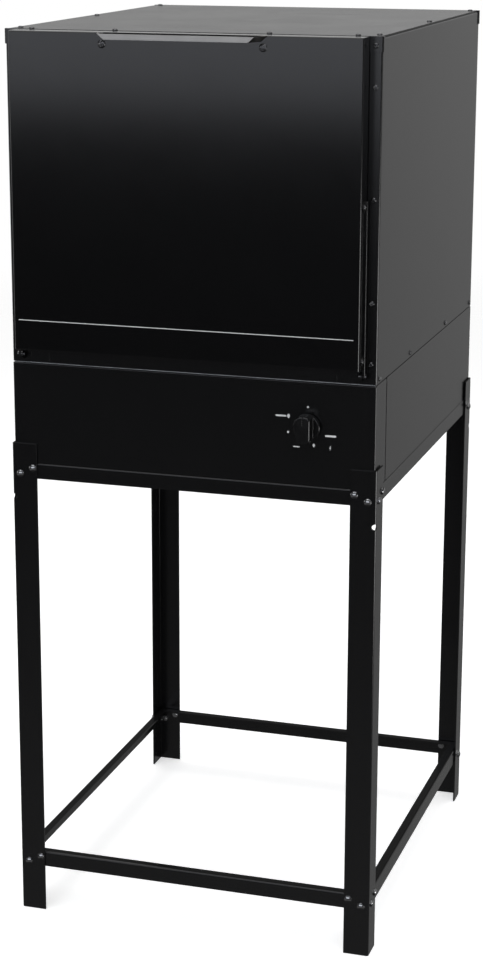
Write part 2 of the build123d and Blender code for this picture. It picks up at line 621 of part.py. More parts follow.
def door_handle():
    """Shallow finger tray of folded strip, open at the top, with a flange inside the skin."""
    low = DOOR_TOP - HANDLE_HEIGHT - HANDLE_SHEET
    outer_low = make_face(Polyline(*tray_corners(HANDLE_REACH, 0), close=True))
    outer_top = make_face(Polyline(*tray_corners(HANDLE_REACH, 9.5), close=True))
    height = DOOR_TOP - low
    tray = loft([Pos(0, 0, low) * outer_low, Pos(0, 0, DOOR_TOP) * outer_top])
    shrink = HANDLE_REACH - HANDLE_SHEET
    inner_low = make_face(Polyline(*tray_corners(shrink, -1.6), close=True))
    inner_top = make_face(Polyline(*tray_corners(shrink, 9.5 - 1.6 + 1.4), close=True))
    hollow = loft([Pos(0, 0, low + HANDLE_SHEET) * inner_low, Pos(0, 0, low + height + 1) * inner_top])
    tray -= hollow
    tray -= slab((-150, 150), (DOOR_FRONT - 0.1, DOOR_FRONT + 10), (low - 1, DOOR_TOP + 1))
    web = slab((-118, 118), (DOOR_FRONT - 0.6, DOOR_FRONT + SHEET + HANDLE_SHEET), (low, low + HANDLE_SHEET))
    inside = DOOR_FRONT + SHEET
    flange = slab((-130, 130), (inside, inside + HANDLE_SHEET), (DOOR_TOP - 28, low + HANDLE_SHEET))
    handle = tray + web + flange
    for side in (-1, 1):
        handle -= rod(2.1, (side * HANDLE_SCREW_X, -372, DOOR_TOP - HANDLE_SCREW_DROP),
                      (side * HANDLE_SCREW_X, -364, DOOR_TOP - HANDLE_SCREW_DROP))
    return handle


def door_screws():
    """Truss-head screws of the handle and of the hinge arms."""
    pieces = []
    for side in (-1, 1):
        place = (side * HANDLE_SCREW_X, DOOR_FRONT, DOOR_TOP - HANDLE_SCREW_DROP)
        pieces.append(screw(place, (0, -1, 0), head=6.0, rise=2.6, shank=5.0))
        for rise in ARM_SCREW_RISES:
            place = (side * (HALF_DOOR + ARM_TAB_THICK), ARM_SCREW_Y, PIVOT_Z + rise)
            pieces.append(screw(place, (side, 0, 0), head=4.0, rise=1.8, shank=5.0))
    return pieces


def hinge_arm_right():
    """Bar along the door's side with two thin screw tabs; it turns on the pin at its lower end."""
    bar = extrude(SlotCenterToCenter(ARM_LENGTH, ARM_WIDTH, rotation=90), amount=ARM_THICK)
    middle = (HALF_DOOR, PIVOT_Y, PIVOT_Z + ARM_LENGTH / 2)
    seat = Plane(origin=middle, x_dir=(0, 1, 0), z_dir=(1, 0, 0)).location
    arm = seat * fillet(bar.faces().sort_by(Axis.Z)[-1].edges(), 1.0)
    tab_end = (HALF_DOOR + ARM_TAB_THICK, ARM_SCREW_Y)
    for rise in ARM_SCREW_RISES:
        z = PIVOT_Z + rise
        arm += rod(6.5, (HALF_DOOR, ARM_SCREW_Y, z), (*tab_end, z))
        arm += slab((HALF_DOOR, tab_end[0]), (ARM_SCREW_Y, PIVOT_Y), (z - 6.5, z + 6.5))
        arm -= screw_hole((*tab_end, z), (1, 0, 0))
    eye_ends = [(x, PIVOT_Y, PIVOT_Z) for x in (HALF_DOOR - 5, HALF_DOOR + 9)]
    return arm - rod(PIN_RADIUS + RUNNING_CLEARANCE, *eye_ends)


LUG_X = (262.8, 265.8)
LUG_RADIUS = 7.0


def hinge_bracket_right():
    """Small lug welded to the front post under the door's corner."""
    seat_z = (PIVOT_Z - LUG_RADIUS, PIVOT_Z + LUG_RADIUS)
    lug = rod(LUG_RADIUS, (LUG_X[0], PIVOT_Y, PIVOT_Z), (LUG_X[1], PIVOT_Y, PIVOT_Z))
    lug += slab(LUG_X, (PIVOT_Y, FRONT), seat_z)
    lug += slab((LUG_X[0] - 9, LUG_X[1]), (FRONT - 1.5, FRONT), seat_z)
    eye_ends = [(x, PIVOT_Y, PIVOT_Z) for x in (LUG_X[0] - 1, LUG_X[1] + 1)]
    return lug - rod(PIN_RADIUS + RUNNING_CLEARANCE, *eye_ends)


def hinge_pin_right():
    """Pin with a head outside the arm and a collar inside the lug."""
    head_x = HALF_DOOR + ARM_THICK + 0.3
    pin = rod(PIN_RADIUS, (LUG_X[0] - 2.5, PIVOT_Y, PIVOT_Z), (head_x + 1, PIVOT_Y, PIVOT_Z))
    head = rod(4.6, (head_x, PIVOT_Y, PIVOT_Z), (head_x + 1.8, PIVOT_Y, PIVOT_Z))
    collar = rod(5.0, (LUG_X[0] - 2.0, PIVOT_Y, PIVOT_Z), (LUG_X[0] - 0.4, PIVOT_Y, PIVOT_Z))
    return pin + head + collar


def make_door():
    save("door_outer_panel", door_outer_panel())
    save("door_inner_panel", door_inner_panel())
    wool = slab((-262, 262), (DOOR_FRONT + 6, DOOR_BACK - 3), (DOOR_BOTTOM + 5, DOOR_TOP - 32))
    save("door_insulation", wool)
    save("door_handle", door_handle())
    save("door_screws", *door_screws())
    save("hinge_arms", *pair(hinge_arm_right()))
    save("hinge_brackets", *pair(hinge_bracket_right()))
    save("hinge_pins", *pair(hinge_pin_right()))
    ring = slab((-242, 242), (DOOR_BACK + 0.4, FRONT), (954, 1326))
    ring = fillet(ring.edges().filter_by(Axis.Y), 14)
    mouth = slab((-231, 231), (DOOR_BACK - 5, FRONT + 5), (965, 1315))
    ring -= fillet(mouth.edges().filter_by(Axis.Y), 4)
    save("door_gasket", ring)


def main():
    os.makedirs("parts", exist_ok=True)
    make_stand()
    make_base()
    make_body()
    make_chamber()
    make_insulation()
    make_gas_train()
    make_door()
    save("panel_screws", *[screw(place, outward) for place, outward in SCREWS])


main()
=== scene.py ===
"""Looks of the gas oven on its stand: finishes, small fittings, printed marks and a studio."""
import json
import math

import bmesh
import bpy
from mathutils import Matrix, Vector


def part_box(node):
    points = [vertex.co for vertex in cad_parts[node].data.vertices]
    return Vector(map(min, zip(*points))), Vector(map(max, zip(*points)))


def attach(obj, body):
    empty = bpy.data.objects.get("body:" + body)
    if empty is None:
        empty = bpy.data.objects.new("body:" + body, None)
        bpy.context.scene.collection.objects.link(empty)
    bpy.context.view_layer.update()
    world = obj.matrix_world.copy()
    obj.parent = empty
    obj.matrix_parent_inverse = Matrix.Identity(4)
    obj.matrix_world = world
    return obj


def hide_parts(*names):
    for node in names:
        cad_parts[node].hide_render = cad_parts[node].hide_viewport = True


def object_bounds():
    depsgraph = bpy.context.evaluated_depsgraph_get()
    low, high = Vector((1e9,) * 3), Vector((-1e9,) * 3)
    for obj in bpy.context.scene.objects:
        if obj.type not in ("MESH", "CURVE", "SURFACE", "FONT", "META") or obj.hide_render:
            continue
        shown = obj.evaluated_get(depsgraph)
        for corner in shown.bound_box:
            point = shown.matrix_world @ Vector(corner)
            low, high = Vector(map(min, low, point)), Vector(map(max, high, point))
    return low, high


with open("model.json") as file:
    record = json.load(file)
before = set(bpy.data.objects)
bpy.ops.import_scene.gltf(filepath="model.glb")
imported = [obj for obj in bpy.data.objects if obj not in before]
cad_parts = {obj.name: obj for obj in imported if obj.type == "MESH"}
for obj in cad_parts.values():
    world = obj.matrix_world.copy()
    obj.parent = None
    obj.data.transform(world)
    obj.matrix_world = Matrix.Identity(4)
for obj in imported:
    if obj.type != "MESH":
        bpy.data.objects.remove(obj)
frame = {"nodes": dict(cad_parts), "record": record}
cad_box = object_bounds()
record = frame["record"]
MM = 0.001


# ---------------------------------------------------------------- finishes
BEVEL_SAMPLES = 4
WEAR_BEND = (0.02, 0.25)    # bend of the normal at an edge where wear starts, and where it is full
DUST_AND_LIGHT_TILT = (0.6, 0.98)     # Z of the normal where the dust and painted top light start, and where they are full
# Pale grey on upward faces: dust, and partly a painted lightening of the tops
DUST_AND_TOP_LIGHT = (0.045, 0.044, 0.042)
RUBBED = (0.03, 0.03, 0.031)


class Finish:
    """A node material that works in the row frame's own coordinates, in metres."""

    def __init__(self, name, edge_mm, metallic=0.0, specular=0.5):
        self.material = bpy.data.materials.new(name)
        self.material.use_nodes = True
        self.tree = self.material.node_tree
        self.shader = self.tree.nodes["Principled BSDF"]
        self.shader.inputs["Metallic"].default_value = metallic
        self.shader.inputs["Specular IOR Level"].default_value = specular
        self.place = self.add("ShaderNodeTexCoord").outputs["Object"]
        self.normal = None
        if edge_mm:
            self.normal = self.bevelled(edge_mm)
            self.link(self.normal, self.shader.inputs["Normal"])

    def add(self, kind):
        return self.tree.nodes.new(kind)

    def link(self, output, target):
        self.tree.links.new(output, target)

    def bevelled(self, radius_mm):
        """Normals that turn smoothly over sharp edges."""
        bevel = self.add("ShaderNodeBevel")
        bevel.samples = BEVEL_SAMPLES
        bevel.inputs["Radius"].default_value = radius_mm * MM
        return bevel.outputs["Normal"]

    def stretched(self, stretch):
        """Coordinates scaled along each axis, for grain that runs one way."""
        mapping = self.add("ShaderNodeMapping")
        mapping.inputs["Scale"].default_value = stretch
        self.link(self.place, mapping.inputs["Vector"])
        return mapping.outputs["Vector"]

    def noise(self, scale, detail=4.0, roughness=0.5, stretch=None, distortion=0.0):
        node = self.add("ShaderNodeTexNoise")
        node.inputs["Scale"].default_value = scale
        node.inputs["Detail"].default_value = detail
        node.inputs["Roughness"].default_value = roughness
        node.inputs["Distortion"].default_value = distortion
        place = self.stretched(stretch) if stretch else self.place
        self.link(place, node.inputs["Vector"])
        return node.outputs["Fac"]

    def cells(self, scale, feature="F1", output="Distance"):
        node = self.add("ShaderNodeTexVoronoi")
        node.feature = feature
        node.inputs["Scale"].default_value = scale
        self.link(self.place, node.inputs["Vector"])
        return node.outputs[output]

    def waves(self, scale, direction, distortion):
        node = self.add("ShaderNodeTexWave")
        node.wave_type = "BANDS"
        node.bands_direction = direction
        node.inputs["Scale"].default_value = scale
        node.inputs["Distortion"].default_value = distortion
        self.link(self.place, node.inputs["Vector"])
        return node.outputs["Fac"]

    def remap(self, value, low, high, to_low=0.0, to_high=1.0):
        """The value, with the range low to high moved to to_low to to_high and held there."""
        node = self.add("ShaderNodeMapRange")
        node.inputs["From Min"].default_value = low
        node.inputs["From Max"].default_value = high
        node.inputs["To Min"].default_value = to_low
        node.inputs["To Max"].default_value = to_high
        self.link(value, node.inputs["Value"])
        return node.outputs["Result"]

    def maths(self, operation, first, second):
        node = self.add("ShaderNodeMath")
        node.operation = operation
        for slot, value in zip(node.inputs, (first, second)):
            if isinstance(value, (int, float)):
                slot.default_value = value
            else:
                self.link(value, slot)
        return node.outputs["Value"]

    def blend(self, factor, first, second):
        """Mix of two colours, each an RGB triple or another node's output."""
        node = self.add("ShaderNodeMix")
        node.data_type = "RGBA"
        self.link(factor, node.inputs["Factor"])
        for slot, value in zip(("A", "B"), (first, second)):
            target = next(s for s in node.inputs if s.name == slot and s.type == "RGBA")
            if isinstance(value, tuple):
                target.default_value = (*value, 1.0)
            else:
                self.link(value, target)
        return next(s for s in node.outputs if s.type == "RGBA")

    def upward(self):
        """0 on upright faces and 1 on faces that look up, where dust settles and painted top light
        goes.
        """
        geometry = self.add("ShaderNodeNewGeometry")
        split = self.add("ShaderNodeSeparateXYZ")
        self.link(geometry.outputs["Normal"], split.inputs["Vector"])
        return self.remap(split.outputs["Z"], *DUST_AND_LIGHT_TILT)

    def worn_edge(self, radius_mm):
        """1 close to sharp edges, where handling polishes or bares the surface."""
        rounded = self.bevelled(radius_mm)
        geometry = self.add("ShaderNodeNewGeometry")
        dot = self.add("ShaderNodeVectorMath")
        dot.operation = "DOT_PRODUCT"
        self.link(rounded, dot.inputs[0])
        self.link(geometry.outputs["Normal"], dot.inputs[1])
        bend = self.maths("SUBTRACT", 1.0, dot.outputs["Value"])
        return self.remap(bend, *WEAR_BEND)

    def color(self, output):
        self.link(output, self.shader.inputs["Base Color"])

    def rough(self, output):
        self.link(output, self.shader.inputs["Roughness"])

    def relief(self, height, depth_mm, strength=1.0):
        bump = self.add("ShaderNodeBump")
        bump.inputs["Distance"].default_value = depth_mm * MM
        bump.inputs["Strength"].default_value = strength
        self.link(height, bump.inputs["Height"])
        if self.normal is not None:
            self.link(self.normal, bump.inputs["Normal"])
        self.normal = bump.outputs["Normal"]
        self.link(self.normal, self.shader.inputs["Normal"])


def painted(name, base, gloss, peel_mm, top_dust_and_light, edge_mm=0.35):
    """Stoved black paint on sheet: faint orange peel, handling haze, dust with painted top light,
    polished bends.
    """
    finish = Finish(name, edge_mm, specular=0.42)
    clouds = finish.noise(3.1, detail=6.0, roughness=0.6)
    shade = finish.blend(clouds, tuple(0.8 * c for c in base), tuple(1.25 * c for c in base))
    # Patchy dust on upward faces; its pale grey also paints in the light that the tops catch
    patches = finish.remap(clouds, 0.3, 0.75, 0.2, 1.0)
    upward_dust_and_light = finish.maths("MULTIPLY", finish.upward(), patches)
    dust_and_light_share = finish.maths("MULTIPLY", upward_dust_and_light, top_dust_and_light)
    shade = finish.blend(dust_and_light_share, shade, DUST_AND_TOP_LIGHT)
    touched = finish.remap(finish.noise(60.0, detail=5.0), 0.5, 0.7, 0.0, 0.5)
    rubbed = finish.maths("MULTIPLY", finish.worn_edge(edge_mm), touched)
    finish.color(finish.blend(rubbed, shade, RUBBED))
    haze = finish.noise(11.0, detail=8.0, roughness=0.65, distortion=0.6)
    smudge = finish.remap(haze, 0.35, 0.7, -0.004, 0.009)
    grain = finish.remap(finish.noise(420.0, detail=3.0), 0.3, 0.7, -0.008, 0.008)
    spread = finish.maths("ADD", finish.maths("ADD", smudge, grain), gloss)
    finish.rough(finish.maths("ADD", spread, finish.maths("MULTIPLY", dust_and_light_share, 0.15)))
    finish.relief(finish.noise(520.0, detail=2.0), peel_mm)
    finish.relief(finish.noise(30.0, detail=2.0), peel_mm * 1.5)
    return finish.material


def mixed(finish, first, second, share):
    """Sum of two patterns, the first with the share and the second with the rest."""
    return finish.maths("ADD", finish.maths("MULTIPLY", first, share),
                        finish.maths("MULTIPLY", second, 1.0 - share))


def sheet_metal(name, dark, light, roughness, spangle):
    """Bare or plated sheet with crystal spangle, rolling marks and stains."""
    finish = Finish(name, edge_mm=0.4, metallic=1.0)
    split = finish.add("ShaderNodeSeparateColor")
    finish.link(finish.cells(spangle, output="Color"), split.inputs["Color"])
    stain = finish.noise(7.0, detail=6.0, roughness=0.6)
    tone = mixed(finish, split.outputs["Red"], stain, 0.5)
    finish.color(finish.blend(tone, dark, light))
    finish.rough(finish.remap(tone, 0.1, 0.9, roughness - 0.08, roughness + 0.12))
    finish.relief(finish.noise(900.0, detail=2.0), 0.01)
    return finish.material


def brushed(name, dark, light, roughness, stretch):
    """Metal with fine lines along one way: drawn, turned or brushed."""
    finish = Finish(name, edge_mm=0.3, metallic=1.0)
    lines = finish.noise(1.0, detail=5.0, roughness=0.7, stretch=stretch)
    tone = mixed(finish, lines, finish.noise(24.0, detail=5.0), 0.6)
    finish.color(finish.blend(finish.remap(tone, 0.3, 0.7), dark, light))
    finish.rough(finish.remap(tone, 0.3, 0.7, roughness + 0.08, roughness - 0.05))
    finish.relief(lines, 0.01)
    return finish.material


def speckled_enamel(name):
    """Dark oven enamel with fine pale flecks and a glassy flow."""
    finish = Finish(name, edge_mm=0.8)
    fleck = finish.remap(finish.cells(480.0), 0.10, 0.16, 1.0, 0.0)
    sparse = finish.remap(finish.noise(160.0, detail=1.0), 0.5, 0.6)
    clouds = finish.noise(5.0, detail=5.0)
    ground = finish.blend(clouds, (0.016, 0.018, 0.023), (0.024, 0.026, 0.032))
    finish.color(finish.blend(finish.maths("MULTIPLY", fleck, sparse), ground, (0.42, 0.44, 0.47)))
    finish.rough(finish.remap(clouds, 0.3, 0.7, 0.14, 0.26))
    finish.relief(finish.noise(90.0, detail=2.0), 0.05)
    return finish.material


def fibre_mat(name, dark, light):
    """Matted mineral fibre: long tangled strands with darker hollows."""
    finish = Finish(name, edge_mm=0.0, specular=0.15)
    strands = finish.noise(
        160.0, detail=8.0, roughness=0.75, stretch=(1.0, 1.0, 4.5), distortion=2.2)
    clumps = finish.noise(19.2, detail=4.0)
    tone = finish.maths("MULTIPLY", strands, finish.remap(clumps, 0.3, 0.7, 0.8, 1.2))
    finish.color(finish.blend(finish.remap(tone, 0.3, 0.7), dark, light))
    finish.rough(finish.remap(strands, 0.2, 0.8, 0.85, 1.0))
    finish.relief(tone, 1.6)
    return finish.material


def fired_stone(name):
    """Pressed refractory slab: warm ground, dark and pale grit, pores and baked stains."""
    finish = Finish(name, edge_mm=1.2, specular=0.2)
    ground = finish.blend(finish.noise(14.0, detail=6.0), (0.34, 0.26, 0.18), (0.52, 0.43, 0.32))
    grit = finish.remap(finish.cells(420.0), 0.12, 0.3, 1.0, 0.0)
    ground = finish.blend(finish.maths("MULTIPLY", grit, 0.6), ground, (0.16, 0.12, 0.09))
    scorch = finish.remap(finish.noise(4.0, detail=5.0), 0.52, 0.75, 0.0, 0.6)
    finish.color(finish.blend(scorch, ground, (0.13, 0.09, 0.06)))
    finish.rough(finish.remap(grit, 0.0, 1.0, 0.8, 0.95))
    finish.relief(finish.cells(300.0), 0.25)
    finish.relief(finish.noise(70.0, detail=6.0), 0.4)
    return finish.material


def heated_steel(name):
    """Burner steel with scale and bands of heat tint along its length."""
    finish = Finish(name, edge_mm=0.4, metallic=0.8)
    tint = finish.noise(16.0, detail=5.0, distortion=0.8)
    straw = finish.blend(finish.remap(tint, 0.35, 0.55), (0.20, 0.17, 0.15), (0.30, 0.20, 0.11))
    blue = finish.blend(finish.remap(tint, 0.52, 0.68), straw, (0.10, 0.10, 0.16))
    scale = finish.remap(finish.noise(120.0, detail=6.0), 0.55, 0.68, 0.0, 0.8)
    finish.color(finish.blend(scale, blue, (0.05, 0.035, 0.03)))
    finish.rough(finish.remap(scale, 0.0, 0.8, 0.38, 0.75))
    finish.relief(finish.noise(300.0, detail=4.0), 0.05)
    return finish.material


def moulded(name):
    """Fine-textured moulded plastic, a little polished where fingers hold it."""
    finish = Finish(name, edge_mm=0.8, specular=0.4)
    clouds = finish.noise(40.0, detail=4.0)
    finish.color(finish.blend(clouds, (0.0020, 0.0020, 0.0022), (0.0040, 0.0040, 0.0042)))
    polish = finish.maths("MULTIPLY", finish.worn_edge(2.0), -0.1)
    finish.rough(finish.maths("ADD", finish.remap(clouds, 0.3, 0.7, 0.20, 0.26), polish))
    finish.relief(finish.cells(1900.0), 0.01, strength=0.3)
    return finish.material


def braided(name):
    """Braided glass-fibre rope: crossing strands over a soft core."""
    finish = Finish(name, edge_mm=1.0, specular=0.2)
    strands = finish.waves(90.0, "DIAGONAL", distortion=1.0)
    fibres = finish.noise(700.0, detail=3.0, stretch=(1.0, 1.0, 0.4))
    weave = finish.maths("MULTIPLY", strands, fibres)
    raised = finish.remap(weave, 0.0, 0.5)
    finish.color(finish.blend(raised, (0.16, 0.15, 0.13), (0.40, 0.39, 0.36)))
    finish.rough(finish.remap(fibres, 0.2, 0.8, 0.8, 0.95))
    finish.relief(weave, 0.4)
    return finish.material


def printed(name):
    """Screen-printed pale ink, thin enough for the paint to show in pinholes."""
    finish = Finish(name, edge_mm=0.0, specular=0.4)
    pores = finish.remap(finish.noise(2600.0, detail=3.0), 0.62, 0.72, 0.0, 0.45)
    tone = finish.blend(finish.noise(90.0), (0.50, 0.51, 0.51), (0.62, 0.63, 0.62))
    finish.color(finish.blend(pores, tone, (0.03, 0.03, 0.03)))
    finish.rough(finish.remap(pores, 0.0, 0.45, 0.42, 0.6))
    finish.relief(pores, -0.01)
    return finish.material


def glazed(name):
    """White glazed ceramic with faint crazing."""
    finish = Finish(name, edge_mm=0.3)
    craze = finish.remap(finish.cells(500.0, feature="DISTANCE_TO_EDGE"), 0.0, 0.02, 0.6, 0.0)
    body = finish.blend(finish.noise(60.0, detail=5.0), (0.62, 0.60, 0.55), (0.80, 0.79, 0.75))
    finish.color(finish.blend(craze, body, (0.35, 0.31, 0.26)))
    finish.rough(finish.remap(craze, 0.0, 0.6, 0.12, 0.3))
    finish.relief(craze, -0.02)
    return finish.material


# One finish for each material slot of the record. Brushed and drawn metal: dark and light tone,
# roughness, and the grain's scale along X, Y and Z.
FINISHES = {
    "painted_black": painted(
        "painted_black", (0.0030, 0.0030, 0.0032), gloss=0.19, peel_mm=0.006, top_dust_and_light=0.12),
    "enamel_black": painted(
        "enamel_black", (0.0026, 0.0026, 0.0028), gloss=0.12, peel_mm=0.003, top_dust_and_light=0.2, edge_mm=1.0),
    "black_screw": brushed(
        "black_screw", (0.07, 0.07, 0.073), (0.14, 0.14, 0.143), 0.13, (700, 700, 700)),
    "zinc_steel": brushed(
        "zinc_steel", (0.24, 0.24, 0.245), (0.36, 0.36, 0.365), 0.14, (900, 900, 900)),
    "galvanised": sheet_metal(
        "galvanised", (0.36, 0.37, 0.38), (0.60, 0.61, 0.62), roughness=0.38, spangle=95.0),
    "enamel_grey": speckled_enamel("enamel_grey"),
    "mineral_wool": fibre_mat("mineral_wool", (0.24, 0.19, 0.09), (0.66, 0.58, 0.36)),
    "refractory": fired_stone("refractory"),
    "plated_wire": brushed(
        "plated_wire", (0.50, 0.50, 0.51), (0.70, 0.70, 0.71), 0.16, (500, 60, 500)),
    "burner_steel": heated_steel("burner_steel"),
    "brass": brushed(
        "brass", (0.46, 0.30, 0.10), (0.72, 0.52, 0.22), 0.28, (900, 200, 900)),
    "plain_steel": brushed(
        "plain_steel", (0.30, 0.30, 0.30), (0.52, 0.52, 0.52), 0.32, (120, 1600, 120)),
    "aluminium_pipe": brushed(
        "aluminium_pipe", (0.56, 0.57, 0.58), (0.76, 0.77, 0.78), 0.3, (900, 30, 900)),
    "knob_plastic": moulded("knob_plastic"),
    "handle_metal": brushed(
        "handle_metal", (0.265, 0.258, 0.245), (0.355, 0.347, 0.332), 0.36, (14, 1400, 1400)),
    "gasket_fibre": braided("gasket_fibre"),
    "electrode_ceramic": glazed("electrode_ceramic"),
}
INK = printed("printed_ink")


def dress_frame():
    """Every CAD node takes the finish of its slot."""
    for row in record["subparts"]:
        mesh = frame["nodes"][row["node"]].data
        mesh.materials.clear()
        mesh.materials.append(FINISHES[row["material_slot"]])


# ---------------------------------------------------------------- mesh helpers
LATHE_STEPS = 48
SAME_POINT = 1e-6           # metres
SCREW_CREASE, BOLT_CREASE = 40, 35      # degrees from which an edge stays sharp
MIDDLE = (Vector(cad_box[0]) + Vector(cad_box[1])) / 2


def new_piece(name, mesh_bm, material, body):
    """Finish a bmesh as a piece that rides on a body."""
    mesh = bpy.data.meshes.new(name)
    mesh_bm.to_mesh(mesh)
    mesh_bm.free()
    mesh.materials.append(material)
    piece = bpy.data.objects.new(name, mesh)
    bpy.context.scene.collection.objects.link(piece)
    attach(piece, body)
    return piece


def lathe(bm, place, profile, outline):
    """Closed turned form: profile is (radius, height) from the base's middle to the top's middle.

    The outline gives each ring point its own radius and height from the ring's and the angle.
    """
    rings = []
    for radius, height in profile:
        if radius == 0:
            rings.append([bm.verts.new(place @ Vector((0, 0, height)))])
            continue
        ring = []
        for step in range(LATHE_STEPS):
            angle = 2 * math.pi * step / LATHE_STEPS
            reach, lift = outline(radius, height, angle)
            point = Vector((reach * math.cos(angle), reach * math.sin(angle), lift))
            ring.append(bm.verts.new(place @ point))
        rings.append(ring)
    for low, high in zip(rings, rings[1:]):
        for step in range(LATHE_STEPS):
            after = (step + 1) % LATHE_STEPS
            if len(low) == 1:
                bm.faces.new((low[0], high[after], high[step]))
            elif len(high) == 1:
                bm.faces.new((low[step], low[after], high[0]))
            else:
                bm.faces.new((low[step], low[after], high[after], high[step]))


def islands(node):
    """Lowest and highest corner of each separate solid in a CAD node."""
    bm = bmesh.new()
    bm.from_mesh(frame["nodes"][node].data)
    bmesh.ops.remove_doubles(bm, verts=bm.verts, dist=SAME_POINT)
    left = set(bm.verts)
    boxes = []
    while left:
        heap = [left.pop()]
        low, high = heap[0].co.copy(), heap[0].co.copy()
        while heap:
            vert = heap.pop()
            low = Vector(map(min, low, vert.co))
            high = Vector(map(max, high, vert.co))
            for edge in vert.link_edges:
                other = edge.other_vert(vert)
                if other in left:
                    left.remove(other)
                    heap.append(other)
        boxes.append((low, high))
    bm.free()
    return sorted(boxes, key=lambda box: tuple(round(c, 5) for c in box[0]))


def outward_seat(low, high):
    """Frame at the outer end of a screw's box, Z outward, with its head radius and its length."""
    size = high - low
    spread = [abs(size[(axis + 1) % 3] - size[(axis + 2) % 3]) for axis in range(3)]
    axis = spread.index(min(spread))
    centre = (low + high) / 2
    sign = 1 if centre[axis] > MIDDLE[axis] else -1
    outward = Vector((0, 0, 0))
    outward[axis] = sign
    centre[axis] = high[axis] if sign > 0 else low[axis]
    turn = outward.to_track_quat("Z", "Y").to_matrix().to_4x4()
    return Matrix.Translation(centre) @ turn, size[(axis + 1) % 3] / 2, size[axis]


# Cross-head screws: sizes per head radius, heights per rise of the dome, turn in radians.
SCREW_TURN = 0.7
SCREW_SHANK = 0.42
SCREW_RIM = 0.86
CROSS_ARM, CROSS_REACH, CROSS_DEPTH = 0.19, 0.62, 0.55
CROSS_WALL, CROSS_END = 0.35, 0.25      # run of the recess's slopes, per arm width and reach
DOME_STEPS, DOME_FULLNESS = 12, 0.6
PANEL_SCREW_DOME, DOOR_SCREW_DOME = 0.50, 0.44      # rise of the dome, per head radius


def cross_head(bm, low, high, dome, index):
    """Domed screw with a cross recess and a short shank; the dome is its rise per head radius."""
    seat, radius, length = outward_seat(low, high)
    seat = seat @ Matrix.Rotation(index * SCREW_TURN, 4, "Z")
    rise = dome * radius
    rim = SCREW_RIM * rise
    shank = SCREW_SHANK * radius
    arm, reach, recess = CROSS_ARM * radius, CROSS_REACH * radius, CROSS_DEPTH * rise

    def cut_cross(r, z, angle):
        across = min(abs(r * math.cos(angle)), abs(r * math.sin(angle)))
        wall = max(0.0, min(1.0, (arm - across) / (CROSS_WALL * arm)))
        end = max(0.0, min(1.0, (reach - r) / (CROSS_END * reach)))
        return r, z - recess * min(wall, end)

    profile = [(0, -length), (shank, -length), (shank, -rise), (radius, -rise), (radius, -rim)]
    for step in range(1, DOME_STEPS):
        sweep = step / DOME_STEPS * math.pi / 2
        profile.append((radius * math.cos(sweep) ** DOME_FULLNESS, rim * math.sin(sweep) - rim))
    profile.append((0, -recess))
    lathe(bm, seat, profile, cut_cross)


def screws(name, node, body, dome, slot):
    """Cross-head screws in place of the plain ones of a CAD node."""
    bm = bmesh.new()
    for index, (low, high) in enumerate(islands(node)):
        cross_head(bm, low, high, dome, index)
    piece = new_piece(name, bm, FINISHES[slot], body)
    smooth(piece, SCREW_CREASE)
    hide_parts(node)


def smooth(piece, angle):
    """Smooth shading that stays crisp where faces meet at more than the angle, in degrees."""
    mesh = piece.data
    bm = bmesh.new()
    bm.from_mesh(mesh)
    limit = math.radians(angle)
    for face in bm.faces:
        face.smooth = True
    for edge in bm.edges:
        edge.smooth = len(edge.link_faces) == 2 and edge.calc_face_angle(math.pi) < limit
    bm.to_mesh(mesh)
    bm.free()


# Bolts of the stand, in metres; the turn is in radians.
BOLT_TURN = 0.45
BOLT_HEAD, BOLT_FLAT, BOLT_DOME = 4.0 * MM, 5.0 * MM, 1.7 * MM
BOLT_SHANK, BOLT_CHAMFER = 3.0 * MM, 0.5 * MM
BOLT_DOME_SHARE, BOLT_DOME_STEPS = 0.93, 9      # the dome's width, per width between flats
BOLT_CORNER_DROP = 0.9
BOLT_RIM = 5.5 * MM         # any radius past the dome's: the hexagon sets the real one
WASHER_THICK, WASHER_RADIUS, WASHER_BEVEL = 0.9 * MM, 5.7 * MM, 0.1 * MM
WASHER_BEVEL_BELOW, WASHER_BEVEL_ABOVE = 0.15 * MM, 0.2 * MM
SLIVER = 0.01 * MM          # keeps the washer's last ring under the head's first one


def hex_bolt(bm, low, high, index):
    """Hexagon bolt with a washer under a domed head; its shank ends in a chamfer."""
    seat, _, length = outward_seat(low, high)
    seat = seat @ Matrix.Rotation(index * BOLT_TURN, 4, "Z")
    washer_top = -BOLT_HEAD + WASHER_THICK
    washer_face = WASHER_RADIUS - WASHER_BEVEL

    def hexagon(radius, height, angle):
        """Six flats for the head's rings; the dome, washer and shank stay round."""
        if radius <= BOLT_FLAT * BOLT_DOME_SHARE or height < washer_top - SLIVER / 10:
            return radius, height
        nearest = (angle + math.pi / 6) % (math.pi / 3) - math.pi / 6
        reach = BOLT_FLAT / math.cos(nearest)
        drop = (reach - BOLT_FLAT) * BOLT_CORNER_DROP if height > -BOLT_HEAD / 2 else 0.0
        return reach, height - drop

    profile = [
        (0, -length), (BOLT_SHANK - BOLT_CHAMFER, -length),
        (BOLT_SHANK, -length + BOLT_CHAMFER), (BOLT_SHANK, -BOLT_HEAD),
        (washer_face, -BOLT_HEAD), (WASHER_RADIUS, -BOLT_HEAD + WASHER_BEVEL_BELOW),
        (WASHER_RADIUS, washer_top - WASHER_BEVEL_ABOVE), (washer_face, washer_top - SLIVER),
        (BOLT_RIM, washer_top), (BOLT_RIM, -BOLT_DOME),
    ]
    for step in range(BOLT_DOME_STEPS):
        share = BOLT_DOME_SHARE * (1 - step / BOLT_DOME_STEPS)
        profile.append((BOLT_FLAT * share, -BOLT_DOME * share ** 2))
    profile.append((0, 0))
    lathe(bm, seat, profile, hexagon)


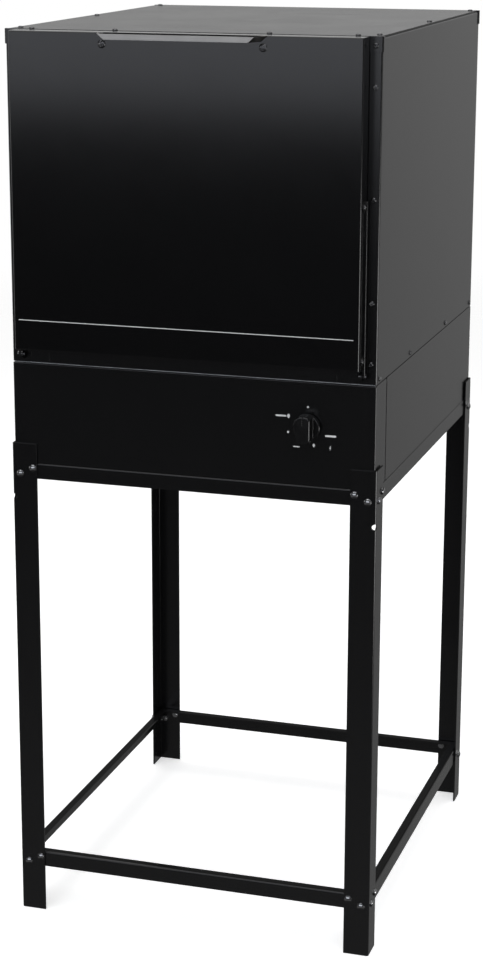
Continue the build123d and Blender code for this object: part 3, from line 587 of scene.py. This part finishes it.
def bolts():
    """Hexagon bolts in place of the plain ones of the stand."""
    bm = bmesh.new()
    for index, (low, high) in enumerate(islands("stand_bolts")):
        hex_bolt(bm, low, high, index)
    piece = new_piece("stand_bolt_set", bm, FINISHES["zinc_steel"], "root")
    smooth(piece, BOLT_CREASE)
    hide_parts("stand_bolts")


# ---------------------------------------------------------------- printed marks
INK_THICK = 0.12 * MM


def tile(bm, points, y):
    """Thin raised shape from an outline in X and Z, its back on the plane y."""
    back = [bm.verts.new((x, y, z)) for x, z in points]
    front = [bm.verts.new((x, y - INK_THICK, z)) for x, z in points]
    bm.faces.new(front)
    bm.faces.new(back[::-1])
    for index in range(len(points)):
        after = (index + 1) % len(points)
        bm.faces.new((front[index], back[index], back[after], front[after]))


def disc(x, z, radius):
    """Round dot, centred on x and z."""
    steps = 20
    turns = [2 * math.pi * step / steps for step in range(steps)]
    return [(x + radius * math.cos(turn), z + radius * math.sin(turn)) for turn in turns]


def bar(x, z, length, height):
    """Bar with rounded ends, centred on x and z."""
    half, radius, steps = length / 2 - height / 2, height / 2, 6
    points = []
    for centre, start in ((half, -math.pi / 2), (-half, math.pi / 2)):
        for step in range(steps + 1):
            angle = start + math.pi * step / steps
            points.append((x + centre + radius * math.cos(angle), z + radius * math.sin(angle)))
    return points


def flame(x, z, height):
    """Flame or drop outline: round below, drawn up to a point."""
    wide, pinch, sway, steps = 0.34, 0.45, 0.06, 22
    points = []
    for step in range(steps):
        angle = 2 * math.pi * step / steps
        width = wide * height * math.sin(angle) * (1 - pinch * max(0.0, math.cos(angle)))
        lean = sway * height * math.sin(2 * angle)
        points.append((x + width + lean, z + 0.5 * height * math.cos(angle)))
    return points[::-1]


def spark(x, z, height):
    """Lightning sign for ignition."""
    shape = [(0.10, 0.5), (-0.22, -0.04), (0.0, -0.04), (-0.10, -0.5),
             (0.22, 0.08), (0.0, 0.08), (0.22, 0.5)]
    return [(x + px * height, z + pz * height) for px, pz in shape]


# Marks round the knob: outline, place from the knob's centre along X and Z, and size, all in mm.
KNOB_MARKS = (
    (disc, 0.0, 29.5, 1.7),
    (bar, -41.0, 14.0, 17.0, 2.6),
    (flame, -29.5, 14.0, 6.5),
    (disc, -30.0, -10.2, 1.7),
    (bar, -17.0, -31.5, 10.0, 1.7),
    (flame, 9.5, -27.8, 5.2),
    (bar, 35.0, -12.0, 17.0, 2.8),
    (spark, 34.5, -30.3, 7.0),
)


def legend():
    """Generic dots, bars and signs round the knob, on the front of the burner box."""
    knob_low, knob_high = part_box("control_knob")
    x = (knob_low[0] + knob_high[0]) / 2
    z = (knob_low[2] + knob_high[2]) / 2
    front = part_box("base_front_panel")[0][1]
    bm = bmesh.new()
    for outline, across, up, *size in KNOB_MARKS:
        tile(bm, outline(x + across * MM, z + up * MM, *(side * MM for side in size)), front)
    new_piece("knob_legend", bm, INK, "root")


# The door's printed line: margins from the panel's left, right and lower edges, and its width.
LINE_LEFT, LINE_RIGHT, LINE_UP, LINE_WIDTH = 7.1 * MM, 8.4 * MM, 46.4 * MM, 1.1 * MM


def door_line():
    """Fine printed line across the lower part of the door."""
    low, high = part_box("door_outer_panel")
    x_left, x_right = low[0] + LINE_LEFT, high[0] - LINE_RIGHT
    outline = bar((x_left + x_right) / 2, low[2] + LINE_UP, x_right - x_left, LINE_WIDTH)
    bm = bmesh.new()
    tile(bm, outline, low[1])
    new_piece("door_line", bm, INK, "door")


# ---------------------------------------------------------------- studio
WHITE = (1.0, 1.0, 1.0)
# Softboxes: name, place, point that they face, (width, height), radiance and colour.
SOFTBOXES = (
    ("top_box", (0.2, -0.4, 4.2), (0.2, -0.4, 1.0), (5.0, 6.6), 1.8, WHITE),
    ("front_box", (-1.0, -6.85, 2.34), (-1.0, 0.0, 2.34), (10.0, 3.4), 1.68, (0.95, 0.98, 1.06)),
    ("right_low", (4.4, -1.3, -0.15), (0.0, -1.3, -0.15), (3.4, 1.45), 6.5, WHITE),
    ("left_low", (-4.6, 0.4, 1.0), (0.0, 0.0, 0.9), (4.2, 2.2), 1.1, WHITE),
)
# The room's grey by the height of a direction, from -1 straight down to 1 straight up.
ROOM_BEHIND = ((-0.35, 0.22), (-0.18, 0.29), (-0.06, 0.36), (0.05, 0.62), (0.11, 0.60),
               (0.17, 0.10), (1.0, 0.08))
ROOM_AHEAD = ((-0.75, 0.04), (-0.48, 0.28), (-0.36, 0.18), (-0.27, 0.05), (-0.22, 0.02),
              (1.0, 0.03))
ROOM_TURN = (-0.1, 0.5)     # where the room ahead gives way to the room behind, along Y
FLOOR_SOLID, FLOOR_END = 2.0, 6.0
FLOOR_GLOW = 0.62
FLOOR_LEVEL = -0.5 * MM     # just under the feet
FLOOR_STEPS = 96
CAMERA_PLACE = (1.04318, -3.42248, 1.61616)
PITCH_DOWN, TURN_LEFT = 14.55, 17.89    # degrees from level, and from straight at the front
LENS, SENSOR = 84.44, 36.0              # millimetres, the sensor's along the picture's height
SHIFT_X, SHIFT_Y = 0.0260, -0.0180
FAR_END = 200.0


def area_light(name, place, target, size, radiance, color):
    """Rectangular softbox: size is (width, height), radiance is how bright its face looks."""
    light = bpy.data.lights.new(name, "AREA")
    light.shape = "RECTANGLE"
    light.size, light.size_y = size
    light.energy = radiance * math.pi * size[0] * size[1]
    light.color = color
    holder = bpy.data.objects.new(name, light)
    bpy.context.scene.collection.objects.link(holder)
    holder.location = place
    aim = Vector(target) - Vector(place)
    holder.rotation_euler = aim.to_track_quat("-Z", "Y").to_euler()
    holder.visible_camera = False


def room_grey(tree, height, stops):
    """Grey of the room from its stops; the height runs from 0 straight down to 1 straight up."""
    ramp = tree.nodes.new("ShaderNodeValToRGB")
    elements = ramp.color_ramp.elements
    while len(elements) < len(stops):
        elements.new(0.5)
    for element, (level, grey) in zip(elements, stops):
        element.position = (level + 1) / 2
        element.color = (grey, grey, grey, 1.0)
    tree.links.new(height, ramp.inputs["Fac"])
    return ramp.outputs["Color"]


def studio_world():
    """Pale room behind the object and a dim one in front; the camera sees it pale all round."""
    world = bpy.data.worlds.new("studio")
    world.use_nodes = True
    bpy.context.scene.world = world
    tree = world.node_tree
    tree.nodes.clear()
    add, link = tree.nodes.new, tree.links.new
    where = add("ShaderNodeTexCoord")
    split = add("ShaderNodeSeparateXYZ")
    link(where.outputs["Generated"], split.inputs["Vector"])
    height = add("ShaderNodeMath")
    height.operation = "MULTIPLY_ADD"
    height.inputs[1].default_value = 0.5
    height.inputs[2].default_value = 0.5
    link(split.outputs["Z"], height.inputs[0])
    behind = room_grey(tree, height.outputs["Value"], ROOM_BEHIND)
    ahead = room_grey(tree, height.outputs["Value"], ROOM_AHEAD)
    depth = add("ShaderNodeMapRange")
    depth.interpolation_type = "SMOOTHSTEP"
    depth.inputs["From Min"].default_value, depth.inputs["From Max"].default_value = ROOM_TURN
    link(split.outputs["Y"], depth.inputs["Value"])
    whole = add("ShaderNodeMix")
    whole.data_type = "RGBA"
    link(depth.outputs["Result"], whole.inputs["Factor"])
    sockets = [socket for socket in whole.inputs if socket.type == "RGBA"]
    link(ahead, sockets[0])
    link(behind, sockets[1])
    room = add("ShaderNodeBackground")
    link(next(socket for socket in whole.outputs if socket.type == "RGBA"), room.inputs["Color"])
    seen = add("ShaderNodeBackground")
    seen.inputs["Color"].default_value = (*WHITE, 1.0)
    path = add("ShaderNodeLightPath")
    mix = add("ShaderNodeMixShader")
    link(path.outputs["Is Camera Ray"], mix.inputs["Fac"])
    link(room.outputs["Background"], mix.inputs[1])
    link(seen.outputs["Background"], mix.inputs[2])
    out = add("ShaderNodeOutputWorld")
    link(mix.outputs["Shader"], out.inputs["Surface"])


def studio_floor():
    """Pale floor that fades into the pale room away from the object."""
    finish = Finish("studio_floor", edge_mm=0.0, specular=0.1)
    mottle = finish.noise(2.0, detail=4.0)
    finish.color(finish.blend(mottle, (0.93, 0.93, 0.93), (0.95, 0.95, 0.95)))
    finish.rough(finish.remap(mottle, 0.3, 0.7, 0.7, 0.8))
    finish.shader.inputs["Emission Color"].default_value = (*WHITE, 1.0)
    finish.shader.inputs["Emission Strength"].default_value = FLOOR_GLOW
    reach = finish.add("ShaderNodeVectorMath")
    reach.operation = "LENGTH"
    finish.link(finish.place, reach.inputs[0])
    fade = finish.remap(reach.outputs["Value"], FLOOR_SOLID, FLOOR_END, 1.0, 0.0)
    finish.link(fade, finish.shader.inputs["Alpha"])
    bm = bmesh.new()
    bmesh.ops.create_circle(bm, cap_ends=True, segments=FLOOR_STEPS, radius=FLOOR_END)
    mesh = bpy.data.meshes.new("studio_floor")
    bm.to_mesh(mesh)
    bm.free()
    mesh.materials.append(finish.material)
    floor = bpy.data.objects.new("studio_floor", mesh)
    floor.location.z = FLOOR_LEVEL
    bpy.context.scene.collection.objects.link(floor)
    floor.visible_glossy = False


def studio_camera():
    """Camera ahead of the object's right front corner, a little above it, looking down."""
    camera = bpy.data.cameras.new("camera")
    camera.sensor_fit = "VERTICAL"
    camera.sensor_height = SENSOR
    camera.lens = LENS
    camera.shift_x, camera.shift_y = SHIFT_X, SHIFT_Y
    camera.clip_end = FAR_END
    holder = bpy.data.objects.new("camera", camera)
    bpy.context.scene.collection.objects.link(holder)
    holder.location = CAMERA_PLACE
    holder.rotation_euler = (math.radians(90 - PITCH_DOWN), 0.0, math.radians(TURN_LEFT))
    bpy.context.scene.camera = holder


dress_frame()
screws("panel_screw_set", "panel_screws", "root", PANEL_SCREW_DOME, "black_screw")
screws("door_screw_set", "door_screws", "door", DOOR_SCREW_DOME, "black_screw")
bolts()
legend()
door_line()
studio_world()
studio_floor()
for softbox in SOFTBOXES:
    area_light(*softbox)
studio_camera()
bpy.context.scene.view_settings.view_transform = "Standard"
